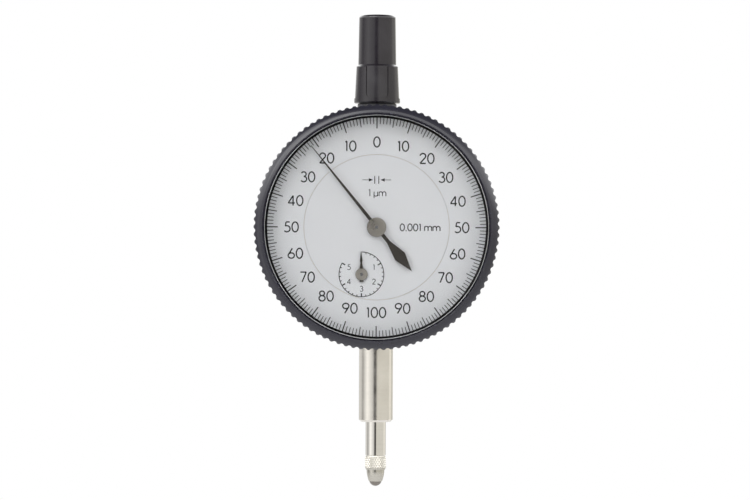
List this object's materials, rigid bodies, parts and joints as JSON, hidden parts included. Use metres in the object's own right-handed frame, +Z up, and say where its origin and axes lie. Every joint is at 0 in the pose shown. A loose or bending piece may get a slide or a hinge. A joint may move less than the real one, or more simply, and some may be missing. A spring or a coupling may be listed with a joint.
{
  "type": "dial indicator",
  "caption": "Plunger dial indicator with a sliding spindle, geared pointer and travel counter, turning serrated bezel, lug back and a removable spindle cap.",
  "frame": {"origin": "on the spindle's axis, at the middle of the stem's clamping length", "axes": "+Z up along the spindle towards the cap, the dial faces -Y, +X to the right as seen from the front"},
  "size_m": [0.057, 0.0358, 0.1109],
  "materials": {
    "cast_body": "satin anodised",
    "plated_brass": "matt nickel plate",
    "spindle_steel": "ground and polished",
    "carbide": "polished carbide",
    "bronze": "sintered bronze",
    "black_neck": "black",
    "black_bezel": "dark blue-black, semi-gloss",
    "black_cap": "dark, semi-gloss",
    "rubber": "matt",
    "acetal": "matt",
    "dial_face": "fine satin, printed scale",
    "crystal": "clear",
    "hand_paint": "dark satin",
    "hub_nickel": "spun nickel",
    "brass": "satin",
    "pinion_steel": "polished",
    "screw_steel": "plated",
    "spring_steel": "drawn wire",
    "ruby": "polished"
  },
  "bodies": {
    "case": {"case": "cast_body", "stem": "plated_brass", "stem_bush_lower": "bronze", "stem_bush_upper": "bronze", "upper_neck": "black_neck", "bumper_washer": "rubber", "back_cover": "cast_body", "cover_gasket": "rubber", "cover_screws": "screw_steel", "base_plate": "brass", "base_plate_screws": "screw_steel", "front_plate": "brass", "movement_pillars": "brass", "front_plate_screws": "screw_steel", "rear_cock": "brass", "rear_cock_screws": "screw_steel", "rear_jewels": "ruby", "front_jewels": "ruby", "guide_bracket": "pinion_steel", "guide_rivets": "brass", "inner_dial": "dial_face", "dial_feet": "brass", "bezel_friction_ring": "acetal", "bezel_snap_ring": "screw_steel", "return_spring": "spring_steel", "spring_anchor": "pinion_steel", "hairspring": "spring_steel", "hairspring_stud": "brass"},
    "bezel": {"bezel": "black_bezel", "crystal": "crystal", "crystal_seal": "rubber", "dial_ring": "dial_face", "dial_ring_clip": "screw_steel"},
    "spindle": {"spindle": "spindle_steel", "contact_point": "spindle_steel", "contact_ball": "carbide", "cross_pin": "spindle_steel", "spindle_stop_ring": "spindle_steel"},
    "drive_arbor": {"rack_pinion": "pinion_steel", "first_wheel": "brass"},
    "intermediate_arbor": {"intermediate_pinion": "pinion_steel", "second_wheel": "brass"},
    "centre_arbor": {"centre_pinion": "pinion_steel", "pointer": "hand_paint", "pointer_hub": "hub_nickel"},
    "counter_arbor": {"counter_arbor": "pinion_steel", "counter_wheel": "brass", "counter_hand": "hand_paint", "counter_hub": "hub_nickel", "hairspring_collet": "brass"},
    "cap": {"spindle_cap": "black_cap"}
  },
  "joints": [
    {"name": "spindle_slide", "type": "slide", "parent": "case", "child": "spindle", "axis": [0, 0, 1], "range_m": [0, 0.0051], "stiffness_N_per_m": 60, "springref_m": -0.015, "deforming": ["return_spring"]},
    {"name": "drive_turn", "type": "hinge", "parent": "case", "child": "drive_arbor", "pos_m": [0.00285, 0, 0.02303], "axis": [0, 1, 0], "range_deg": [0, 306.01]},
    {"name": "intermediate_turn", "type": "hinge", "parent": "case", "child": "intermediate_arbor", "pos_m": [0.0022, 0, 0.0302], "axis": [0, 1, 0], "range_deg": [-1530.01, 0]},
    {"name": "counter_turn", "type": "hinge", "parent": "case", "child": "counter_arbor", "pos_m": [-0.00346, 0, 0.02575], "axis": [0, 1, 0], "range_deg": [0, 306.01]},
    {"name": "pointer_turn", "type": "hinge", "parent": "case", "child": "centre_arbor", "pos_m": [0, 0, 0.0367], "axis": [0, 1, 0], "range_deg": [0, 9180.01]},
    {"name": "bezel_turn", "type": "hinge", "parent": "case", "child": "bezel", "pos_m": [0, 0, 0.0367], "axis": [0, 1, 0], "continuous": true},
    {"name": "cap_lift", "type": "slide", "parent": "case", "child": "cap", "axis": [0, 0, 1], "range_m": [0, 0.03]}
  ],
  "couplings": [
    {"joint": "drive_turn", "follows": "spindle_slide", "rad_per_m": 1047.2},
    {"joint": "counter_turn", "follows": "spindle_slide", "rad_per_m": 1047.2},
    {"joint": "intermediate_turn", "follows": "spindle_slide", "rad_per_m": -5236},
    {"joint": "pointer_turn", "follows": "spindle_slide", "rad_per_m": 31416}
  ]
}
